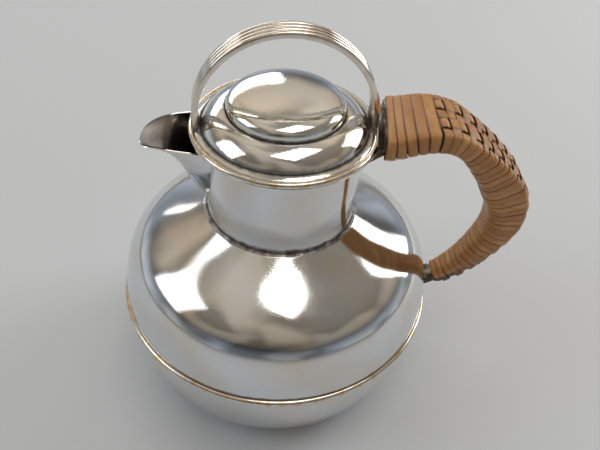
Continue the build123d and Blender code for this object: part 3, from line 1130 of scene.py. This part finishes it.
@dataclass(frozen=True)
class Panel:
    """A soft studio light, aimed at the pot's middle."""

    name: str
    azimuth: float
    elevation: float
    distance: float
    size: tuple[float, float]
    strength: float
    colour: tuple = (1.0, 1.0, 1.0)

    def build(self, aim: Vector) -> None:
        """Hang the light."""
        turn, rise = math.radians(self.azimuth), math.radians(self.elevation)
        way = Vector((math.cos(turn) * math.cos(rise), math.sin(turn) * math.cos(rise), math.sin(rise)))
        lamp = bpy.data.lights.new(self.name, "AREA")
        lamp.shape = "RECTANGLE"
        lamp.size, lamp.size_y = self.size
        lamp.energy = self.strength * math.pi * self.size[0] * self.size[1]
        lamp.color = self.colour
        holder = bpy.data.objects.new(self.name, lamp)
        bpy.context.collection.objects.link(holder)
        holder.location = aim + way * self.distance
        holder.rotation_euler = (-way).to_track_quat("-Z", "Y").to_euler()


@dataclass
class Studio:
    """Camera, floor, room and lights."""

    eye: tuple = (-7.7 * MM, -209.4 * MM, 291.4 * MM)
    heading: float = 4.753
    pitch: float = 44.07
    roll: float = 5.124
    lens: float = 37.2
    floor_size: float = 60.0
    floor_colour: tuple = (0.62, 0.655, 0.70)

    def camera(self) -> None:
        """Set up the camera."""
        heading, pitch, roll = (math.radians(a) for a in (self.heading, self.pitch, self.roll))
        forward = Vector(
            (math.sin(heading) * math.cos(pitch), math.cos(heading) * math.cos(pitch), -math.sin(pitch))
        )
        right = forward.cross(Vector((0, 0, 1))).normalized()
        up = right.cross(forward)
        across = math.cos(roll) * right + math.sin(roll) * up
        above = -math.sin(roll) * right + math.cos(roll) * up
        data = bpy.data.cameras.new("camera")
        data.sensor_width = 36.0
        data.lens = self.lens
        data.clip_start = 0.01
        camera = bpy.data.objects.new("camera", data)
        bpy.context.collection.objects.link(camera)
        axes = Matrix((across, above, -forward)).transposed().to_4x4()
        camera.matrix_world = Matrix.Translation(self.eye) @ axes
        bpy.context.scene.camera = camera

    def floor(self) -> None:
        """Lay the floor."""
        deselect_all()
        bpy.ops.mesh.primitive_plane_add(size=self.floor_size, location=(0, 0, 0))
        floor = bpy.context.object
        floor.name = "floor"
        s = Surface("floor")
        s.set(Base_Color=self.floor_colour, Roughness=0.85)
        floor.data.materials.append(s.material)
        floor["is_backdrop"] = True

    def room(self) -> None:
        """Paint the room that the silver mirrors: pale above, darker towards the horizon."""
        world = bpy.data.worlds.new("room")
        bpy.context.scene.world = world
        world.use_nodes = True
        tree = world.node_tree
        background = next(node for node in tree.nodes if node.type == "BACKGROUND")
        coordinates = tree.nodes.new("ShaderNodeTexCoord")
        split = tree.nodes.new("ShaderNodeSeparateXYZ")
        ramp = tree.nodes.new("ShaderNodeValToRGB")
        stops = (
            (0.0, (0.55, 0.58, 0.62)),
            (0.15, (0.38, 0.42, 0.48)),
            (0.30, (0.17, 0.165, 0.165)),
            (0.42, (0.36, 0.31, 0.25)),
            (0.70, (0.55, 0.48, 0.39)),
            (1.0, (0.60, 0.54, 0.46)),
        )
        while len(ramp.color_ramp.elements) < len(stops):
            ramp.color_ramp.elements.new(0.5)
        for element, (place, colour) in zip(ramp.color_ramp.elements, stops):
            element.position = place
            element.color = (*colour, 1.0)
        noise = tree.nodes.new("ShaderNodeTexNoise")
        noise.inputs["Scale"].default_value = 2.0
        noise.inputs["Detail"].default_value = 1.0

        def mapped(source: Any, *ends: float) -> Any:
            """Map one range of values onto another, given both ranges' ends."""
            node = tree.nodes.new("ShaderNodeMapRange")
            for number, end in enumerate(ends, 1):
                node.inputs[number].default_value = end
            tree.links.new(source, node.inputs[0])
            return node.outputs[0]

        both = tree.nodes.new("ShaderNodeMath")
        both.operation = "MULTIPLY"
        mixed = tree.nodes.new("ShaderNodeVectorMath")
        mixed.operation = "SCALE"
        tree.links.new(coordinates.outputs["Generated"], split.inputs[0])
        tree.links.new(coordinates.outputs["Generated"], noise.inputs["Vector"])
        tree.links.new(split.outputs[2], ramp.inputs[0])
        tree.links.new(mapped(noise.outputs[0], 0.42, 0.58, 0.55, 1.2), both.inputs[0])
        tree.links.new(mapped(split.outputs[1], -1.0, 1.0, 0.5, 1.3), both.inputs[1])
        tree.links.new(ramp.outputs[0], mixed.inputs[0])
        tree.links.new(both.outputs[0], mixed.inputs["Scale"])
        tree.links.new(mixed.outputs[0], background.inputs["Color"])
        background.inputs["Strength"].default_value = 1.0

    def build(self, aim: Vector) -> None:
        """Build the whole studio."""
        bpy.context.scene.view_settings.view_transform = "Standard"
        self.camera()
        self.floor()
        self.room()
        panels = (
            Panel("window_right", 26, 24, 1.3, (0.5, 0.8), 4.4, (1.0, 0.99, 0.97)),
            Panel("window_back", 112, 22, 1.6, (1.2, 0.4), 3.0, (0.97, 0.99, 1.0)),
            Panel("panel_left", 186, 34, 1.4, (0.7, 0.8), 1.7, (0.88, 0.95, 1.0)),
            Panel("panel_above", 330, 80, 1.5, (1.0, 0.6), 2.1, (1.0, 0.97, 0.93)),
        )
        for panel in panels:
            panel.build(aim)


# ---------------------------------------------------------------- assembly


def dress_nodes(finish: bpy.types.Material, names: Sequence[str]) -> None:
    """Give the shown nodes of the model a finish."""
    for name in names:
        node = bpy.data.objects[name]
        if not node.material_slots:
            node.data.materials.append(finish)
        for place in node.material_slots:
            place.material = finish


def main() -> None:
    """Build the coffee pot and its studio in order."""
    logging.basicConfig(level=logging.INFO, format="%(message)s")
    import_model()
    cad_low, cad_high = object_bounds()
    sizes = PotSizes.from_frame()
    Studio().build(Vector((0.0, 0.0, (cad_low[2] + cad_high[2]) / 2)))

    neck, mouth, joint = sizes.neck_radius, sizes.mouth_height, sizes.joint_height
    body, girdle = sizes.body_radius, sizes.girdle_height
    lid_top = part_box("lid_cover")[1].z
    seams = (
        Ring(neck + 0.5 * MM, joint + 0.6 * MM, 2.2 * MM, 0.95),
        Ring(body, girdle + 1.9 * MM, 1.5 * MM, 0.9),
        Ring(body, girdle - 1.9 * MM, 1.5 * MM, 0.9),
        Ring(neck, mouth - 3.4 * MM, 1.5 * MM, 0.8),
    )
    joints = (
        Spot((neck + 1 * MM, 0, mouth - 6 * MM), 12 * MM, 0.95),
        Spot((body + 1 * MM, 0, girdle + 4 * MM), 8 * MM, 0.9),
        Spot((-neck, 0, joint + 12 * MM), 7 * MM, 0.6),
    )
    lid_seams = (
        Ring(24.1 * MM, lid_top - 7.9 * MM, 1.5 * MM, 0.9),
        Ring(34.2 * MM, lid_top - 14.7 * MM, 1.7 * MM, 0.9),
        Ring(37.2 * MM, lid_top - 15.4 * MM, 1.0 * MM, 0.8),
    )
    foot_x = 36.0 * MM
    loop_feet = tuple(
        Spot((side * foot_x, side * 3 * MM, lid_top - 15 * MM), 7.5 * MM, 0.9) for side in (-1, 1)
    )
    plate = SilverFinish("silver_plate", seams, joints).material()
    lid_plate = SilverFinish("silver_lid", lid_seams, loop_feet, pits=2.0).material()
    lining = SilverFinish("silver_lining", silver=(0.62, 0.56, 0.47), warm=(0.45, 0.36, 0.26), roughness=0.24)
    # Near-black silver for the spout's inner face, much darker than the pot's lining.
    black = SilverFinish(
        "dark_spout_silver", silver=(0.16, 0.14, 0.12), warm=(0.05, 0.04, 0.035), roughness=0.3
    )
    worn = SilverFinish("worn_silver_wire", silver=(0.80, 0.76, 0.70), wear=0.85, roughness=0.13, pits=2.0)
    reeded = SilverFinish(
        "reeded_silver", spots=loop_feet, silver=(0.84, 0.80, 0.74), wear=0.45, roughness=0.12, pits=1.6
    )
    lined, worn_wire = lining.material(), worn.material()

    PotBody(sizes).build(plate, lined, worn_wire)
    Spout(sizes).build(plate, black.material())
    Lid(sizes).build(lid_plate, lined, worn_wire, reeded.material())
    stake_cane = CaneFinish("cane_stake", pale=(0.72, 0.41, 0.16))
    Handle().build(CaneFinish("cane").material(), stake_cane.material())
    dress_nodes(MountFinish().material(), ("handle_tube", "upper_socket", "lower_socket", "socket_pin"))


if __name__ == "__main__":
    main()
